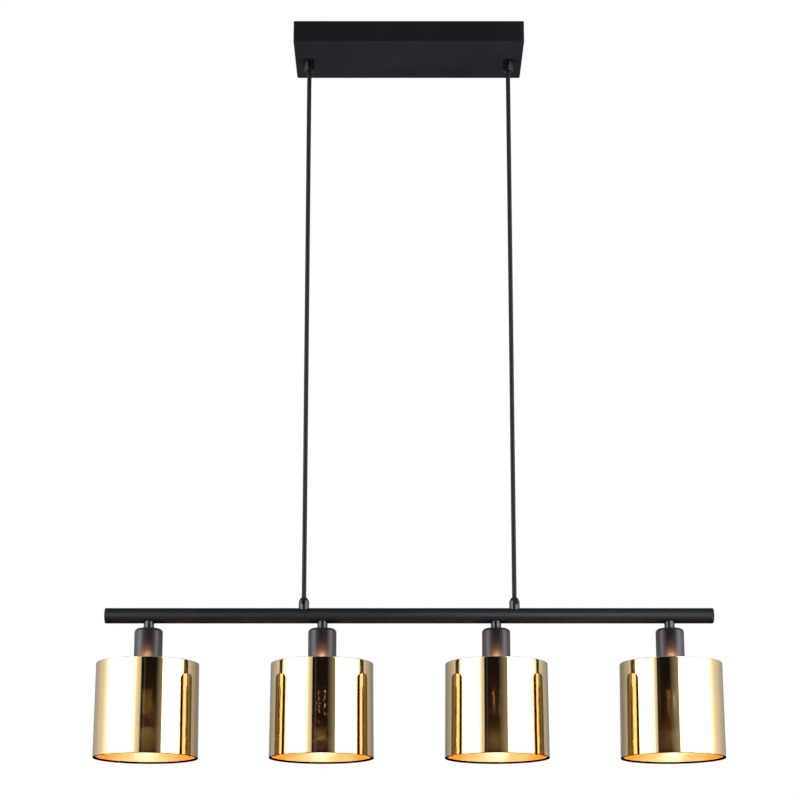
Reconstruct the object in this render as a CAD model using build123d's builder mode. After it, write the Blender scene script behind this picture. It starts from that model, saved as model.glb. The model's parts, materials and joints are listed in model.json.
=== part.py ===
from build123d import *
import os
from math import cos, radians, sin

# Four-light linear pendant for a pool table. Millimetres, +Z up, +X along the bar.
# The origin is the centre of the bracket's flat top face, where it meets the ceiling.

os.makedirs("parts", exist_ok=True)

# Driving dimensions -------------------------------------------------------------

canopy_length = 312.0
canopy_width = 125.0
canopy_height = 30.0
sheet = 1.2                 # steel sheet of the canopy cover
bar_z = -804.0              # height of the bar's axis
bar_length = 788.0
bar_radius = 10.0
bar_wall = 1.0
cable_spacing = 273.0
cable_radius = 3.0
head_spacing = 224.5
heads = [-1.5 * head_spacing, -0.5 * head_spacing, 0.5 * head_spacing, 1.5 * head_spacing]
sides = {"left": -1, "right": 1}

# Heights on a head, measured down from the bar's axis
cup_top = -17.3
shade_top = -62.8
shade_bottom = -184.0
cup_radius = 18.3
shade_top_radius = 66.0
shade_bottom_radius = 67.0
shade_wall = 0.8

# Threads, clearances and the like
shank_radius = 5.0          # M10 hollow shanks on glands, connectors and necks
shank_hole = 5.1
bore_radius = 3.05          # cable bore through the glands
clearance = 0.3             # between pieces that move on each other
slot_width = 0.9            # screwdriver slots


def save(piece, name):
    """Label one finished sub-part and write it out under its own name."""
    piece.part.label = name
    export_step(piece.part, f"parts/{name}.step")


def section_plane(x, z=0.0):
    """Upright plane facing the front, with its own origin at (x, 0, z)."""
    return Plane(origin=(x, 0, z), x_dir=(1, 0, 0), z_dir=(0, -1, 0))


def upright_axis(x):
    """Vertical line through (x, 0)."""
    return Axis((x, 0, 0), (0, 0, 1))


# Ceiling bracket ----------------------------------------------------------------

bracket_thickness = 2.0
bracket_width = 30.0
bracket_reach = canopy_length / 2 - sheet - clearance
flange_height = 18.0
slot_spacing = 180.0
slot_length = 15.0
slot_radius = 2.5
entry_radius = 8.0
cover_screw_radius = 2.0
cover_screw_z = -11.0
earth_x = -45.0

with BuildPart() as ceiling_bracket:
    with BuildSketch(Plane.XY):
        Rectangle(2 * bracket_reach, bracket_width)
        with Locations((-slot_spacing / 2, 0), (slot_spacing / 2, 0)):
            SlotOverall(slot_length, 2 * slot_radius, mode=Mode.SUBTRACT)
        Circle(entry_radius, mode=Mode.SUBTRACT)
        with Locations((earth_x, 0)):
            Circle(cover_screw_radius, mode=Mode.SUBTRACT)
    extrude(amount=-bracket_thickness)
    for side in (-1, 1):
        flange_x = side * (bracket_reach - bracket_thickness / 2)
        with BuildSketch(Plane.XY.offset(-bracket_thickness)):
            with Locations((flange_x, 0)):
                Rectangle(bracket_thickness, bracket_width)
        extrude(amount=-(flange_height - bracket_thickness))
    with BuildSketch(Plane.YZ.offset(-bracket_reach)):
        with Locations((0, cover_screw_z)):
            Circle(cover_screw_radius)
    extrude(amount=2 * bracket_reach, mode=Mode.SUBTRACT)
save(ceiling_bracket, "ceiling_bracket")

# Canopy cover -------------------------------------------------------------------

canopy_corner = 2.5
canopy_edge = 1.2

with BuildPart() as canopy_cover:
    with BuildSketch(Plane.XY):
        RectangleRounded(canopy_length, canopy_width, canopy_corner)
    extrude(amount=-canopy_height)
    fillet(canopy_cover.faces().sort_by(Axis.Z)[0].edges(), radius=canopy_edge)
    with BuildSketch(Plane.XY):
        RectangleRounded(canopy_length - 2 * sheet, canopy_width - 2 * sheet, canopy_corner - sheet)
    extrude(amount=-(canopy_height - sheet), mode=Mode.SUBTRACT)
    with BuildSketch(Plane.XY.offset(-canopy_height)):
        with Locations((-cable_spacing / 2, 0), (cable_spacing / 2, 0)):
            Circle(shank_hole)
    extrude(amount=sheet, mode=Mode.SUBTRACT)
    with BuildSketch(Plane.YZ.offset(-canopy_length / 2)):
        with Locations((0, cover_screw_z)):
            Circle(cover_screw_radius + 0.1)
    extrude(amount=canopy_length, mode=Mode.SUBTRACT)
save(canopy_cover, "canopy_cover")

# Grub screws through the canopy's short ends into the bracket's flanges
cover_screw_length = 7.0

with BuildPart() as cover_screws:
    for side in (-1, 1):
        with BuildSketch(Plane.YZ.offset(side * canopy_length / 2)):
            with Locations((0, cover_screw_z)):
                Circle(cover_screw_radius)
        extrude(amount=-side * cover_screw_length)
        with BuildSketch(Plane.YZ.offset(side * canopy_length / 2)):
            with Locations((0, cover_screw_z)):
                RegularPolygon(1.1, 6)
        extrude(amount=-side * 2.0, mode=Mode.SUBTRACT)
save(cover_screws, "cover_screws")

# Terminal block, its screws and the earth screw ------------------------------------

block_x = 40.0
block_length = 30.0
block_width = 18.0
block_height = 13.0
block_ways = 3
way_pitch = 9.0
terminal_screw_radius = 1.6

with BuildPart() as terminal_block:
    with BuildSketch(Plane.XY.offset(-bracket_thickness)):
        with Locations((block_x, 0)):
            Rectangle(block_width, block_length)
    extrude(amount=-block_height)
    with BuildSketch(Plane.XY.offset(-bracket_thickness - block_height)):
        with Locations((block_x, 0)):
            with GridLocations(way_pitch, way_pitch, 2, block_ways):
                Circle(terminal_screw_radius + 0.4)
    extrude(amount=6.0, mode=Mode.SUBTRACT)
    with BuildSketch(Plane.YZ.offset(block_x - block_width / 2)):
        with Locations((0, -bracket_thickness - block_height / 2)):
            with GridLocations(way_pitch, way_pitch, block_ways, 1):
                Circle(1.8)
    extrude(amount=block_width, mode=Mode.SUBTRACT)
save(terminal_block, "terminal_block")

with BuildPart() as terminal_screws:
    with BuildSketch(Plane.XY.offset(-bracket_thickness - block_height + 1.0)):
        with Locations((block_x, 0)):
            with GridLocations(way_pitch, way_pitch, 2, block_ways):
                Circle(terminal_screw_radius)
    extrude(amount=5.0)
    with BuildSketch(Plane.XY.offset(-bracket_thickness - block_height + 1.0)):
        with Locations((block_x, 0)):
            with GridLocations(way_pitch, way_pitch, 2, block_ways):
                Rectangle(2.4, 0.5)
    extrude(amount=0.7, mode=Mode.SUBTRACT)
save(terminal_screws, "terminal_screws")

with BuildPart() as earth_screw:
    with BuildSketch(Plane.XY):
        with Locations((earth_x, 0)):
            Circle(cover_screw_radius - 0.02)
    extrude(amount=-8.0)
    with BuildSketch(Plane.XY.offset(-bracket_thickness)):
        with Locations((earth_x, 0)):
            Circle(4.5)
    extrude(amount=-1.0)
    with BuildSketch(Plane.XY.offset(-bracket_thickness - 1.0)):
        with Locations((earth_x, 0)):
            RegularPolygon(4.0, 6)
    extrude(amount=-3.0)
save(earth_screw, "earth_screw")

# Cable glands under the canopy ------------------------------------------------------

gland_radius = 6.5
gland_length = 17.0
gland_mouth = -canopy_height - gland_length
gland_top = -24.5
nut_height = 4.0
bend_z = gland_mouth + 2.0       # the cable bends here, on the swing axis
flare_top = bend_z + 1.5         # the mouth opens from here so the cable can lean
flare_radius = 5.4
grub_radius = 2.0
gland_grub_z = -canopy_height - 6.0

for side_name, side in sides.items():
    gland_x = side * cable_spacing / 2
    with BuildPart() as gland:
        with BuildSketch(section_plane(gland_x)):
            with BuildLine():
                Polyline(
                    (bore_radius, gland_top),
                    (shank_radius, gland_top),
                    (shank_radius, -canopy_height),
                    (gland_radius, -canopy_height),
                    (gland_radius, gland_mouth + 0.6),
                    (gland_radius - 0.6, gland_mouth),
                    (flare_radius, gland_mouth),
                    (bore_radius + 0.25, flare_top),
                    (bore_radius, flare_top),
                    close=True,
                )
            make_face()
        revolve(axis=upright_axis(gland_x))
        with BuildSketch(Plane.XZ.offset(-gland_radius)):
            with Locations((gland_x, gland_grub_z)):
                Circle(grub_radius)
        extrude(amount=gland_radius, mode=Mode.SUBTRACT)
    save(gland, f"gland_{side_name}")

with BuildPart() as gland_locknuts:
    with BuildSketch(Plane.XY.offset(-canopy_height + sheet)):
        with Locations((-cable_spacing / 2, 0), (cable_spacing / 2, 0)):
            RegularPolygon(8.0, 6)
            Circle(shank_radius, mode=Mode.SUBTRACT)
    extrude(amount=nut_height)
save(gland_locknuts, "gland_locknuts")

with BuildPart() as gland_grub_screws:
    for side in (-1, 1):
        with BuildSketch(Plane.XZ.offset(-gland_radius)):
            with Locations((side * cable_spacing / 2, gland_grub_z)):
                Circle(grub_radius)
        extrude(amount=gland_radius - cable_radius)
        with BuildSketch(Plane.XZ.offset(-gland_radius)):
            with Locations((side * cable_spacing / 2, gland_grub_z)):
                Rectangle(2 * grub_radius, slot_width)
        extrude(amount=0.8, mode=Mode.SUBTRACT)
save(gland_grub_screws, "gland_grub_screws")

# Cables ---------------------------------------------------------------------------
# Each cable is one 6 mm round cord. Its tail is held in the gland and turns along the
# canopy to the terminal block; the long straight part hangs from the gland's mouth,
# with a round top on the swing axis, and ends in the connector on the bar.

tail_bottom = bend_z + cable_radius + clearance
tail_run_z = -11.5
tail_bend = 12.0
connector_top = bar_z + bar_radius + 13.3
cable_bottom = bar_z + bar_radius + 1.5

for side_name, side in sides.items():
    gland_x = side * cable_spacing / 2
    tail_end = block_x + side * block_width / 2
    with BuildPart() as cable_tail:
        with BuildLine():
            FilletPolyline(
                (gland_x, 0, tail_bottom),
                (gland_x, 0, tail_run_z),
                (tail_end, 0, tail_run_z),
                radius=tail_bend,
            )
        with BuildSketch(Plane.XY.offset(tail_bottom)):
            with Locations((gland_x, 0)):
                Circle(cable_radius)
        sweep()
    save(cable_tail, f"cable_tail_{side_name}")

    with BuildPart() as cable:
        with BuildSketch(section_plane(gland_x)):
            with BuildLine():
                Line((0, bend_z + cable_radius), (0, cable_bottom))
                Line((0, cable_bottom), (cable_radius, cable_bottom))
                Line((cable_radius, cable_bottom), (cable_radius, bend_z))
                CenterArc((0, bend_z), cable_radius, 0, 90)
            make_face()
        revolve(axis=upright_axis(gland_x))
    save(cable, f"cable_{side_name}")

# Bar --------------------------------------------------------------------------------

plug_face = 2.0
plug_edge = 1.6
plug_depth = 8.0
tube_half = bar_length / 2 - plug_face

with BuildPart() as bar_tube:
    with BuildSketch(Plane.YZ.offset(-tube_half)):
        with Locations((0, bar_z)):
            Circle(bar_radius)
            Circle(bar_radius - bar_wall, mode=Mode.SUBTRACT)
    extrude(amount=2 * tube_half)
    with BuildSketch(Plane.XY.offset(bar_z)):
        with Locations((-cable_spacing / 2, 0), (cable_spacing / 2, 0)):
            Circle(shank_hole)
    extrude(amount=2 * bar_radius, mode=Mode.SUBTRACT)
    with BuildSketch(Plane.XY.offset(bar_z)):
        with Locations([(x, 0) for x in heads]):
            Circle(shank_hole)
    extrude(amount=-2 * bar_radius, mode=Mode.SUBTRACT)
save(bar_tube, "bar_tube")

for side_name, side in sides.items():
    with BuildPart() as end_plug:
        with BuildSketch(Plane.YZ.offset(side * tube_half)):
            with Locations((0, bar_z)):
                Circle(bar_radius)
        extrude(amount=side * plug_face)
        outer_edge = end_plug.edges().sort_by(Axis.X)[-1 if side > 0 else 0]
        fillet(outer_edge, radius=plug_edge)
        with BuildSketch(Plane.YZ.offset(side * tube_half)):
            with Locations((0, bar_z)):
                Circle(bar_radius - bar_wall)
                Circle(bar_radius - bar_wall - 1.5, mode=Mode.SUBTRACT)
        extrude(amount=-side * plug_depth)
    save(end_plug, f"end_plug_{side_name}")

# Threaded bosses welded inside the tube, two for the cables and four for the heads
boss_radius = 6.5
boss_inner = 3.2            # height above or below the axis where a boss ends
tube_bore = bar_radius - bar_wall

with BuildPart() as threaded_bosses:
    with BuildSketch(Plane.XY.offset(bar_z + boss_inner)):
        with Locations((-cable_spacing / 2, 0), (cable_spacing / 2, 0)):
            Circle(boss_radius)
            Circle(shank_radius, mode=Mode.SUBTRACT)
    extrude(amount=tube_bore - boss_inner)
    with BuildSketch(Plane.XY.offset(bar_z - boss_inner)):
        with Locations([(x, 0) for x in heads]):
            Circle(boss_radius)
            Circle(shank_radius, mode=Mode.SUBTRACT)
    extrude(amount=-(tube_bore - boss_inner))
    with BuildSketch(Plane.YZ.offset(-tube_half)):
        with Locations((0, bar_z)):
            Circle(tube_bore)
    extrude(amount=2 * tube_half, mode=Mode.INTERSECT)
save(threaded_bosses, "threaded_bosses")

# Connectors that grip the cables on top of the bar -----------------------------------

connector_radius = 6.8
connector_cylinder = 8.8    # straight height above the bar, below the cone
cone_radius = 4.3
connector_bore = cable_radius + clearance
connector_grub_z = bar_z + bar_radius + 6.5
connector_grub_radius = 2.75
grub_turn = {"left": -4.0, "right": 16.5}      # degrees from the front towards +X

with BuildPart() as connector_grub_screws:
    for side_name, side in sides.items():
        turn = radians(grub_turn[side_name])
        facing = Plane(
            origin=(side * cable_spacing / 2, 0, connector_grub_z),
            x_dir=(cos(turn), sin(turn), 0),
            z_dir=(sin(turn), -cos(turn), 0),
        )
        with BuildSketch(facing.offset(connector_bore)):
            Circle(connector_grub_radius)
        extrude(amount=connector_radius - connector_bore - 0.3)
        with BuildSketch(facing.offset(connector_radius - 0.3)):
            Rectangle(2 * connector_grub_radius, slot_width)
        extrude(amount=-1.0, mode=Mode.SUBTRACT)
save(connector_grub_screws, "connector_grub_screws")

for side_name, side in sides.items():
    connector_x = side * cable_spacing / 2
    turn = radians(grub_turn[side_name])
    with BuildPart() as connector:
        with BuildSketch(section_plane(connector_x, bar_z)):
            with BuildLine():
                Polyline(
                    (0, boss_inner),
                    (connector_radius, boss_inner),
                    (connector_radius, bar_radius + connector_cylinder),
                    (cone_radius, connector_top - bar_z),
                    (0, connector_top - bar_z),
                    close=True,
                )
            make_face()
        revolve(axis=upright_axis(connector_x))
        with BuildSketch(Plane.YZ.offset(connector_x - 2 * connector_radius)):
            with Locations((0, bar_z)):
                Circle(bar_radius)
        extrude(amount=4 * connector_radius, mode=Mode.SUBTRACT)
        with BuildSketch(Plane.XY.offset(bar_z + boss_inner)):
            with Locations((connector_x, 0)):
                Circle(shank_radius)
        extrude(amount=bar_radius)
        with BuildSketch(Plane.XY.offset(bar_z)):
            with Locations((connector_x, 0)):
                Circle(connector_bore)
        extrude(amount=connector_top - bar_z, mode=Mode.SUBTRACT)
        facing = Plane(
            origin=(connector_x, 0, connector_grub_z),
            x_dir=(cos(turn), sin(turn), 0),
            z_dir=(sin(turn), -cos(turn), 0),
        )
        with BuildSketch(facing):
            Circle(connector_grub_radius)
        extrude(amount=2 * connector_radius, mode=Mode.SUBTRACT)
    save(connector, f"connector_{side_name}")

# Wiring inside the bar: one harness with risers to the cables and drops to the heads ---

wire_radius = 2.2
sleeve_radius = 2.7         # sleeve round the wires that run along the bar
sleeve_end = 6.0            # how far the sleeve runs past the outer heads
drop_bottom = bar_z - 34.0

with BuildPart() as bar_harness:
    with BuildSketch(Plane.YZ.offset(heads[0] - sleeve_end)):
        with Locations((0, bar_z)):
            Circle(sleeve_radius)
    extrude(amount=heads[-1] - heads[0] + 2 * sleeve_end)
    with BuildSketch(Plane.XY.offset(bar_z)):
        with Locations((-cable_spacing / 2, 0), (cable_spacing / 2, 0)):
            Circle(wire_radius)
    extrude(amount=cable_bottom - clearance - bar_z)
    with BuildSketch(Plane.XY.offset(bar_z)):
        with Locations([(x, 0) for x in heads]):
            Circle(wire_radius)
    extrude(amount=drop_bottom - bar_z)
save(bar_harness, "bar_harness")

# Heads --------------------------------------------------------------------------------

neck_radius = 6.75
neck_bore = 3.0
neck_bottom = -27.0
cup_wall = 1.2
cup_shoulder = 5.0

holder_top = cup_top - cup_wall
holder_boss = 9.0
holder_body = 12.5
holder_thread = 14.0
thread_start = -50.0
holder_bottom = -76.0
chamber_radius = 8.5
chamber_top = -27.5
contact_plate_top = -42.0
contact_plate_bottom = -46.0
shell_outer = 7.8
shell_inner = 7.25
shell_bottom = -72.0

fitter_thickness = 1.5
fitter_hub = 20.0
fitter_hole = 14.3
fitter_wire = 2.2
arm_width = 5.0
arm_count = 3

ring_height = 5.0
ring_flange = 1.5
ring_radius = 17.5

rim_height = 2.4
rim_width = 2.2
rim_lip = 0.5

cap_top = -49.0
cap_bottom = -73.0
cap_crest = 6.9
cap_root = 6.3
thread_pitch = 2.82
glass_wall = 0.8
glass_tip = -147.0
filament_top = (6.3, -96.0)
filament_bottom = (4.4, -128.0)
filament_radius = 0.9
filament_count = 4
stem_radius = 2.2


def shade_radius(height):
    """Outer radius of the slightly tapered shade at a height below the bar's axis."""
    share = (shade_top - height) / (shade_top - shade_bottom)
    return shade_top_radius + share * (shade_bottom_radius - shade_top_radius)


def bulb_outline(inset):
    """Candle-shaped outline from the cap to the tip, drawn inset from the outer glass."""
    neck = (cap_crest - inset, cap_bottom)
    tip = (0, glass_tip + inset)
    body = [(9.2, -82.0), (14.6, -94.0), (17.5, -111.0), (15.6, -126.0), (9.4, -139.5)]
    return neck, [(r - inset, z) for r, z in body], tip


for number, head_x in enumerate(heads, start=1):
    section = section_plane(head_x, bar_z)
    centre = upright_axis(head_x)

    # Hollow neck that screws into the bar and carries the cup and the lampholder
    with BuildPart() as neck:
        with BuildSketch(Plane.XY.offset(bar_z + cup_top)):
            with Locations((head_x, 0)):
                Circle(neck_radius)
        extrude(amount=-boss_inner - cup_top)
        with BuildSketch(Plane.YZ.offset(head_x - 2 * neck_radius)):
            with Locations((0, bar_z)):
                Circle(bar_radius)
        extrude(amount=4 * neck_radius, mode=Mode.SUBTRACT)
        with BuildSketch(Plane.XY.offset(bar_z + neck_bottom)):
            with Locations((head_x, 0)):
                Circle(shank_radius)
        extrude(amount=-boss_inner - neck_bottom)
        with BuildSketch(Plane.XY.offset(bar_z + neck_bottom)):
            with Locations((head_x, 0)):
                Circle(neck_bore)
        extrude(amount=-neck_bottom, mode=Mode.SUBTRACT)
    save(neck, f"neck_{number}")

    # Round-shouldered metal cup over the lampholder
    with BuildPart() as socket_cup:
        with BuildSketch(section):
            with BuildLine():
                Line((shank_hole, cup_top), (cup_radius - cup_shoulder, cup_top))
                CenterArc((cup_radius - cup_shoulder, cup_top - cup_shoulder), cup_shoulder, 0, 90)
                Line((cup_radius, cup_top - cup_shoulder), (cup_radius, shade_top))
                Line((cup_radius, shade_top), (cup_radius - cup_wall, shade_top))
                Line((cup_radius - cup_wall, shade_top), (cup_radius - cup_wall, cup_top - cup_shoulder))
                CenterArc((cup_radius - cup_shoulder, cup_top - cup_shoulder), cup_shoulder - cup_wall, 0, 90)
                Line((cup_radius - cup_shoulder, cup_top - cup_wall), (shank_hole, cup_top - cup_wall))
                Line((shank_hole, cup_top - cup_wall), (shank_hole, cup_top))
            make_face()
        revolve(axis=centre)
    save(socket_cup, f"socket_cup_{number}")

    # Lampholder with a threaded skirt outside and a threaded shell inside
    with BuildPart() as lampholder:
        with BuildSketch(section):
            with BuildLine():
                Polyline(
                    (shank_radius, holder_top),
                    (holder_boss, holder_top),
                    (holder_boss, holder_top - 5.0),
                    (holder_body, holder_top - 8.0),
                    (holder_body, thread_start),
                    (holder_thread, thread_start - 1.0),
                    (holder_thread, holder_bottom),
                    (shell_outer + 0.8, holder_bottom),
                    (shell_outer, holder_bottom + 1.0),
                    (shell_outer, contact_plate_bottom),
                    (1.5, contact_plate_bottom),
                    (1.5, contact_plate_top),
                    (chamber_radius, contact_plate_top),
                    (chamber_radius, chamber_top - 2.0),
                    (shank_radius, chamber_top),
                    close=True,
                )
            make_face()
        revolve(axis=centre)
    save(lampholder, f"lampholder_{number}")

    # Three-armed fitter that the shade hangs from
    with BuildPart() as shade_fitter:
        wire_outer = shade_radius(shade_top) - shade_wall
        with BuildSketch(Plane.XY.offset(bar_z + shade_top)):
            with Locations((head_x, 0)):
                Circle(fitter_hub)
        extrude(amount=-fitter_thickness)
        with BuildSketch(Plane.XY.offset(bar_z + shade_top)):
            for arm in range(arm_count):
                angle = 90 + arm * 360 / arm_count
                reach = wire_outer - fitter_wire / 2
                middle = (head_x + reach / 2 * cos(radians(angle)), reach / 2 * sin(radians(angle)))
                with Locations(Location(middle, angle)):
                    Rectangle(reach, arm_width)
        extrude(amount=-fitter_thickness)
        with BuildSketch(Plane.XY.offset(bar_z + shade_top - fitter_thickness)):
            with Locations((head_x, 0)):
                Circle(fitter_hole)
        extrude(amount=fitter_thickness, mode=Mode.SUBTRACT)
        with BuildSketch(section):
            with Locations((wire_outer - fitter_wire / 2, shade_top - fitter_wire / 2)):
                RectangleRounded(fitter_wire, fitter_wire, 0.8)
        revolve(axis=centre)
    save(shade_fitter, f"shade_fitter_{number}")

    # Tapered cylindrical shade, open at both ends
    with BuildPart() as shade:
        skin_bottom = shade_bottom + rim_lip
        with BuildSketch(section):
            with BuildLine():
                Polyline(
                    (shade_radius(shade_top), shade_top),
                    (shade_radius(skin_bottom), skin_bottom),
                    (shade_radius(skin_bottom) - shade_wall, skin_bottom),
                    (shade_radius(shade_top) - shade_wall, shade_top),
                    close=True,
                )
            make_face()
        revolve(axis=centre)
    save(shade, f"shade_{number}")

    # Black ring that stiffens the lower edge from inside and caps it
    with BuildPart() as shade_rim:
        rim_top = shade_bottom + rim_height
        seat = shade_radius(rim_top) - shade_wall
        with BuildSketch(section):
            with BuildLine():
                Polyline(
                    (seat, rim_top),
                    (seat, skin_bottom),
                    (shade_radius(skin_bottom), skin_bottom),
                    (shade_radius(skin_bottom), shade_bottom + 0.1),
                    (shade_radius(skin_bottom) - 0.1, shade_bottom),
                    (seat - rim_width + 0.7, shade_bottom),
                    (seat - rim_width, shade_bottom + 0.7),
                    (seat - rim_width, rim_top - 0.7),
                    (seat - rim_width + 0.7, rim_top),
                    close=True,
                )
            make_face()
        revolve(axis=centre)
    save(shade_rim, f"shade_rim_{number}")

    # Screw cap of the bulb, with its end contact and rounded thread
    with BuildPart() as bulb_cap:
        with BuildSketch(section):
            turns = 5
            ridge_start = cap_top - 4.5
            ridges = []
            for turn_number in range(turns):
                ridge_z = ridge_start - turn_number * thread_pitch
                ridges.append((cap_root, ridge_z))
                ridges.append((cap_crest, ridge_z - 0.35 * thread_pitch))
                ridges.append((cap_crest, ridge_z - 0.65 * thread_pitch))
            with BuildLine():
                Polyline(
                    (0, cap_top),
                    (2.4, cap_top),
                    (3.2, cap_top - 1.0),
                    (cap_root - 1.0, cap_top - 3.5),
                    (cap_root, cap_top - 4.0),
                    *ridges,
                    (cap_root, ridge_start - turns * thread_pitch),
                    (cap_crest, ridge_start - turns * thread_pitch - 0.8),
                    (cap_crest, cap_bottom),
                    (0, cap_bottom),
                    close=True,
                )
            make_face()
        revolve(axis=centre)
    save(bulb_cap, f"bulb_cap_{number}")

    # Clear candle-shaped glass
    with BuildPart() as bulb_glass:
        for inset, mode in ((0.0, Mode.ADD), (glass_wall, Mode.SUBTRACT)):
            neck_point, body, tip = bulb_outline(inset)
            with BuildSketch(section):
                with BuildLine():
                    Spline(neck_point, *body, tip, tangents=[(0.1, -1), (-1, -0.35)])
                    Line(tip, (0, cap_bottom))
                    Line((0, cap_bottom), neck_point)
                make_face()
            revolve(axis=centre, mode=mode)
    save(bulb_glass, f"bulb_glass_{number}")

    # Filaments on their stem, held between two small stars
    with BuildPart() as bulb_filaments:
        with BuildSketch(Plane.XY.offset(bar_z + cap_bottom)):
            with Locations((head_x, 0)):
                Circle(stem_radius)
        extrude(amount=filament_top[1] - cap_bottom)
        for radius, height in (filament_top, filament_bottom):
            with BuildSketch(Plane.XY.offset(bar_z + height)):
                with Locations((head_x, 0)):
                    Circle(radius + filament_radius)
            extrude(amount=0.5, both=True)
        for rod in range(filament_count):
            angle = radians(45 + rod * 360 / filament_count)
            upper = Vector(head_x + filament_top[0] * cos(angle), filament_top[0] * sin(angle),
                           bar_z + filament_top[1])
            lower = Vector(head_x + filament_bottom[0] * cos(angle), filament_bottom[0] * sin(angle),
                           bar_z + filament_bottom[1])
            with BuildSketch(Plane(origin=upper, z_dir=lower - upper)):
                Circle(filament_radius)
            extrude(amount=(lower - upper).length)
    save(bulb_filaments, f"bulb_filaments_{number}")

# Metal contacts of the lampholders: a threaded shell and a centre rivet in each one
with BuildPart() as holder_contacts:
    for head_x in heads:
        with BuildSketch(section_plane(head_x, bar_z)):
            with BuildLine():
                Polyline(
                    (shell_inner, contact_plate_bottom - 4.0),
                    (shell_outer, contact_plate_bottom - 4.0),
                    (shell_outer, shell_bottom),
                    (shell_inner, shell_bottom),
                    close=True,
                )
            make_face()
            with BuildLine():
                Polyline(
                    (0, contact_plate_top + 1.0),
                    (1.5, contact_plate_top + 1.0),
                    (1.5, contact_plate_bottom),
                    (3.0, contact_plate_bottom),
                    (3.0, contact_plate_bottom - 1.5),
                    (0, contact_plate_bottom - 2.5),
                    close=True,
                )
            make_face()
        revolve(axis=upright_axis(head_x))
save(holder_contacts, "holder_contacts")

# Flanged rings that screw onto the lampholders and clamp the fitters
with BuildPart() as holder_rings:
    for head_x in heads:
        ring_top = shade_top - fitter_thickness
        with BuildSketch(section_plane(head_x, bar_z)):
            with BuildLine():
                Polyline(
                    (holder_thread, ring_top),
                    (fitter_hub, ring_top),
                    (fitter_hub, ring_top - ring_flange),
                    (ring_radius, ring_top - ring_flange),
                    (ring_radius, ring_top - ring_height),
                    (holder_thread, ring_top - ring_height),
                    close=True,
                )
            make_face()
        revolve(axis=upright_axis(head_x))
save(holder_rings, "holder_rings")
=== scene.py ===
import json
from math import cos, pi, radians, sin, tan

import bmesh
import bpy
from mathutils import Matrix, Vector

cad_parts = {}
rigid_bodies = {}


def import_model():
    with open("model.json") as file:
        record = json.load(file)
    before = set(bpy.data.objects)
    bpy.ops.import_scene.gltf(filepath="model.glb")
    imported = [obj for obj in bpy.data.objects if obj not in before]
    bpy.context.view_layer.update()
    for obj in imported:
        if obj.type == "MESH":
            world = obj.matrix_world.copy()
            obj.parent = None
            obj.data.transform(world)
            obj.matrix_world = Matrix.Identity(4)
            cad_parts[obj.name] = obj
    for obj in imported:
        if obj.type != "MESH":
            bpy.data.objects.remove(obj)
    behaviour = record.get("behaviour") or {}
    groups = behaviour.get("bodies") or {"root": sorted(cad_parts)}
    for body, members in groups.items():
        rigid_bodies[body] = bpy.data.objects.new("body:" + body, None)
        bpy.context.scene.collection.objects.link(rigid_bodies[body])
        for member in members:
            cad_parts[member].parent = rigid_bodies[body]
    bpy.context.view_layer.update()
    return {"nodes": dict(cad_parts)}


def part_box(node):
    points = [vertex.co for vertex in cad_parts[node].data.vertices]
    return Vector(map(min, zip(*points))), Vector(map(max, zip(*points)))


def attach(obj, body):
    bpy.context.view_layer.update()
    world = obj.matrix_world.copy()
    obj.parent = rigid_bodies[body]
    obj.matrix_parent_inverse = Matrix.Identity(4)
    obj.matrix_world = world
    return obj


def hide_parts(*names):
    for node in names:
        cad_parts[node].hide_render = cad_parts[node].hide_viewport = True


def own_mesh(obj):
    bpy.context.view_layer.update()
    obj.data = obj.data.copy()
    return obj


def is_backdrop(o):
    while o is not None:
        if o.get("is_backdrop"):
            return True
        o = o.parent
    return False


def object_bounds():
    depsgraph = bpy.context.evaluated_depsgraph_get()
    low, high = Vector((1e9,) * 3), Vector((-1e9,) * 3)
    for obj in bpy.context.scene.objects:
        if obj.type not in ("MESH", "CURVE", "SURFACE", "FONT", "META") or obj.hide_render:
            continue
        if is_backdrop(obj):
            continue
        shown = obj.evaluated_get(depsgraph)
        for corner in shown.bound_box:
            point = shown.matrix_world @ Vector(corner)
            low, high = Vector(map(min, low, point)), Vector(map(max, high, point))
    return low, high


# A four-light pendant for a pool table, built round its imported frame. Metres, +Z up.
# Everything is placed from the frame's own boxes.

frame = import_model()

MM = 0.001
HEADS = range(1, 5)
SIDES = ("left", "right")


def middle(node):
    """Centre of a frame node's box."""
    low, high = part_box(node)
    return (low + high) / 2


def half_width(node):
    """Half of a frame node's extent along X."""
    low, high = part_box(node)
    return (high.x - low.x) / 2


bar = middle("bar_tube")
head_spacing = middle("shade_2").x - middle("shade_1").x

# Mesh helpers ---------------------------------------------------------------------


def finish_mesh(name, mesh, body, material, sharp_angle=35.0):
    """Make a riding piece of a mesh: smooth, with edges sharper than the angle kept."""
    mesh.validate()
    mesh.shade_smooth()
    mesh.set_sharp_from_angle(angle=radians(sharp_angle))
    piece = bpy.data.objects.new(name, mesh)
    bpy.context.scene.collection.objects.link(piece)
    for one in material if isinstance(material, (list, tuple)) else [material]:
        mesh.materials.append(one)
    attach(piece, body)
    return piece


def from_bmesh(bm, name):
    """A mesh from a bmesh, with its faces turned outwards."""
    bmesh.ops.remove_doubles(bm, verts=bm.verts, dist=0.000001)
    bmesh.ops.recalc_face_normals(bm, faces=bm.faces)
    mesh = bpy.data.meshes.new(name)
    bm.to_mesh(mesh)
    bm.free()
    return mesh


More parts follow.
